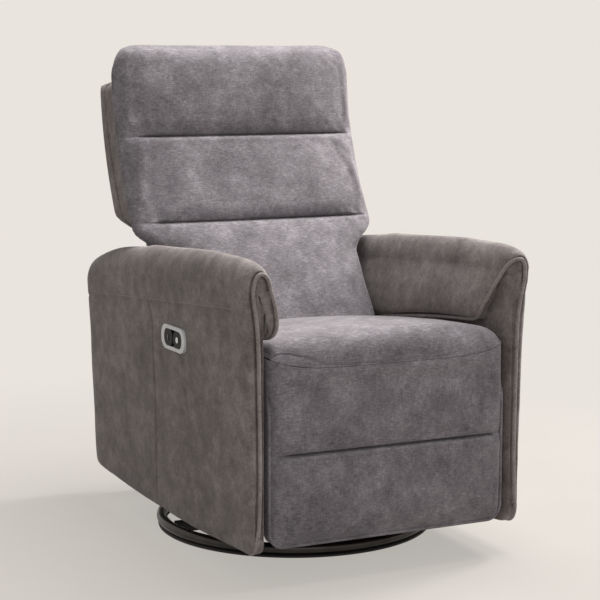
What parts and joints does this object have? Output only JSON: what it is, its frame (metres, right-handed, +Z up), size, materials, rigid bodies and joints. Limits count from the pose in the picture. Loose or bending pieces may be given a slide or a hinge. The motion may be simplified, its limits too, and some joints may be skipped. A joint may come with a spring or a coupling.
{
  "type": "power swivel rocker recliner",
  "caption": "Upholstered power recliner with rolled arms, a three-pillow back and an opening footrest, on a round swivel rocker base with a switch in one arm.",
  "frame": {"origin": "centre of the base ring on the floor, under the middle of the overall box", "axes": "+Z up, -Y towards the front of the chair, +X to the sitter's left"},
  "size_m": [0.6308, 0.892, 1.0218],
  "materials": {
    "body_fabric": "brushed grey chenille",
    "arm_fabric": "brushed brown grey chenille",
    "ring_steel": "grey paint",
    "black_steel": "black powder coat",
    "zinc_steel": "zinc plated",
    "spring_steel": "oiled spring wire",
    "wood": "bare plywood",
    "black_plastic": "fine moulded grain",
    "silver_plastic": "satin silver"
  },
  "bodies": {
    "base": {"base_glide_ring": "black_plastic", "base_ring": "ring_steel", "base_cross": "black_steel", "swivel_lower_plate": "black_steel", "swivel_ball_race": "zinc_steel", "swivel_bolt": "zinc_steel"},
    "turntable": {"swivel_upper_plate": "black_steel", "rocker_rail_left": "black_steel", "rocker_rail_right": "black_steel", "rocker_spring_left_front": "spring_steel", "rocker_spring_left_rear": "spring_steel", "rocker_spring_right_front": "spring_steel", "rocker_spring_right_rear": "spring_steel"},
    "chassis": {"rocker_cam_left": "wood", "rocker_cam_right": "wood", "chassis_front_rail": "black_steel", "chassis_rear_rail": "black_steel", "mechanism_plate_left": "zinc_steel", "mechanism_plate_right": "zinc_steel", "arm_rail_left": "wood", "arm_rail_right": "wood", "arm_panel_left": "arm_fabric", "arm_panel_right": "arm_fabric", "arm_pad_left": "arm_fabric", "arm_pad_right": "arm_fabric", "seat_rail_left": "wood", "seat_rail_right": "wood", "seat_rail_front": "wood", "seat_rail_rear": "wood", "seat_spring_1": "spring_steel", "seat_spring_2": "spring_steel", "seat_spring_3": "spring_steel", "seat_cushion": "body_fabric", "rear_panel": "body_fabric", "switch_bezel": "silver_plastic", "switch_housing": "black_plastic", "actuator_rail": "zinc_steel", "actuator_motor": "black_plastic"},
    "backrest": {"back_upright_left": "wood", "back_upright_right": "wood", "back_rail_bottom": "wood", "back_rail_top": "wood", "back_hinge_bracket_left": "zinc_steel", "back_hinge_bracket_right": "zinc_steel", "back_shell": "body_fabric", "back_cushion": "body_fabric"},
    "rear_links": {"footrest_rear_links": "black_steel"},
    "front_links": {"footrest_front_link_left": "black_steel", "footrest_front_link_right": "black_steel"},
    "upper_links": {"footrest_upper_link_left": "black_steel", "footrest_upper_link_right": "black_steel"},
    "lower_links": {"footrest_lower_link_left": "black_steel", "footrest_lower_link_right": "black_steel"},
    "footrest": {"footrest_bracket_left": "black_steel", "footrest_bracket_right": "black_steel", "footrest_board": "wood", "footrest_pad": "body_fabric"},
    "carriage": {"actuator_carriage": "black_steel"},
    "open_button": {"button_open": "black_plastic"},
    "close_button": {"button_close": "black_plastic"}
  },
  "joints": [
    {"name": "swivel", "type": "hinge", "parent": "base", "child": "turntable", "pos_m": [0, 0, 0.0412], "axis": [0, 0, 1], "continuous": true},
    {"name": "rock", "type": "hinge", "parent": "turntable", "child": "chassis", "pos_m": [0, 0, 0.1955], "axis": [-1, 0, 0], "range_deg": [-4.5, 5], "stiffness_Nm_per_rad": 1500, "deforming": ["rocker_spring_left_front", "rocker_spring_left_rear", "rocker_spring_right_front", "rocker_spring_right_rear"]},
    {"name": "recline", "type": "hinge", "parent": "chassis", "child": "backrest", "pos_m": [0, 0.215, 0.3348], "axis": [-1, 0, 0], "range_deg": [0, 40]},
    {"name": "rear_link_swing", "type": "hinge", "parent": "chassis", "child": "rear_links", "pos_m": [0, -0.22, 0.2748], "axis": [-1, 0, 0], "range_deg": [0, 90]},
    {"name": "front_link_swing", "type": "hinge", "parent": "chassis", "child": "front_links", "pos_m": [0, -0.295, 0.2898], "axis": [-1, 0, 0], "range_deg": [0, 90]},
    {"name": "upper_link_swing", "type": "hinge", "parent": "rear_links", "child": "upper_links", "pos_m": [0, -0.1389, 0.10852], "axis": [1, 0, 0], "range_deg": [0, 90]},
    {"name": "lower_link_swing", "type": "hinge", "parent": "rear_links", "child": "lower_links", "pos_m": [0, -0.1439, 0.16152], "axis": [1, 0, 0], "range_deg": [0, 90]},
    {"name": "footrest_turn", "type": "hinge", "parent": "upper_links", "child": "footrest", "pos_m": [0, -0.35, 0.2718], "axis": [-1, 0, 0], "range_deg": [0, 90]},
    {"name": "carriage_slide", "type": "slide", "parent": "chassis", "child": "carriage", "axis": [0, -1, 0], "range_m": [0, 0.0637]},
    {"name": "open_press", "type": "slide", "parent": "chassis", "child": "open_button", "axis": [1, 0, 0], "range_m": [0, 0.0025], "stiffness_N_per_m": 400},
    {"name": "close_press", "type": "slide", "parent": "chassis", "child": "close_button", "axis": [1, 0, 0], "range_m": [0, 0.0025], "stiffness_N_per_m": 400}
  ],
  "couplings": [
    {"joint": "rear_link_swing", "follows": "recline", "ratio": 2.25},
    {"joint": "front_link_swing", "follows": "recline", "ratio": 2.25},
    {"joint": "upper_link_swing", "follows": "recline", "ratio": 2.25},
    {"joint": "lower_link_swing", "follows": "recline", "ratio": 2.25},
    {"joint": "footrest_turn", "follows": "recline", "ratio": 2.25},
    {"joint": "carriage_slide", "follows": "recline", "m_per_rad": 0.091157}
  ]
}
